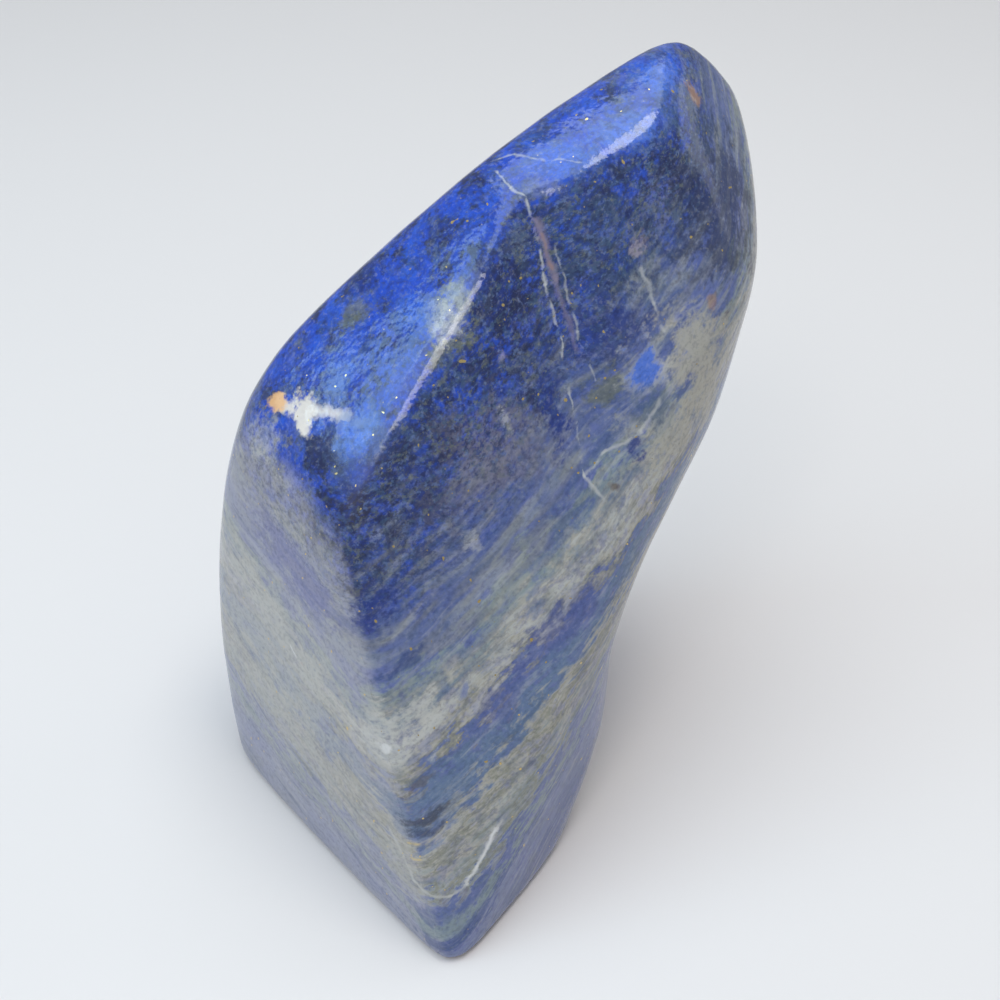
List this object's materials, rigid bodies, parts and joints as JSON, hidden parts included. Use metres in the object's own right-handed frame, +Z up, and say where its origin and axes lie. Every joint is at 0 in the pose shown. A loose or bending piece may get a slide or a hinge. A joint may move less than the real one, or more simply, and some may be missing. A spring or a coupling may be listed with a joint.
{
  "type": "lapis lazuli freeform",
  "caption": "Polished freeform of lapis lazuli, a slanting natural stone with broad ground flats and a pointed top, that stands on its flat cut base as an ornament.",
  "frame": {"origin": "centre of the bounding box at the level of the flat base", "axes": "+Z up from the flat base towards the pointed top, -Y out of the broad front face, +X towards the side that the top leans over"},
  "size_m": [0.1296, 0.1026, 0.1557],
  "materials": {
    "stone": "polished to a wet gloss: ultramarine and navy stone with layered grey-green and beige bands, thin white veins, small rust-brown spots and fine brassy flecks"
  },
  "bodies": {
    "root": {"stone": "stone"}
  },
  "joints": []
}
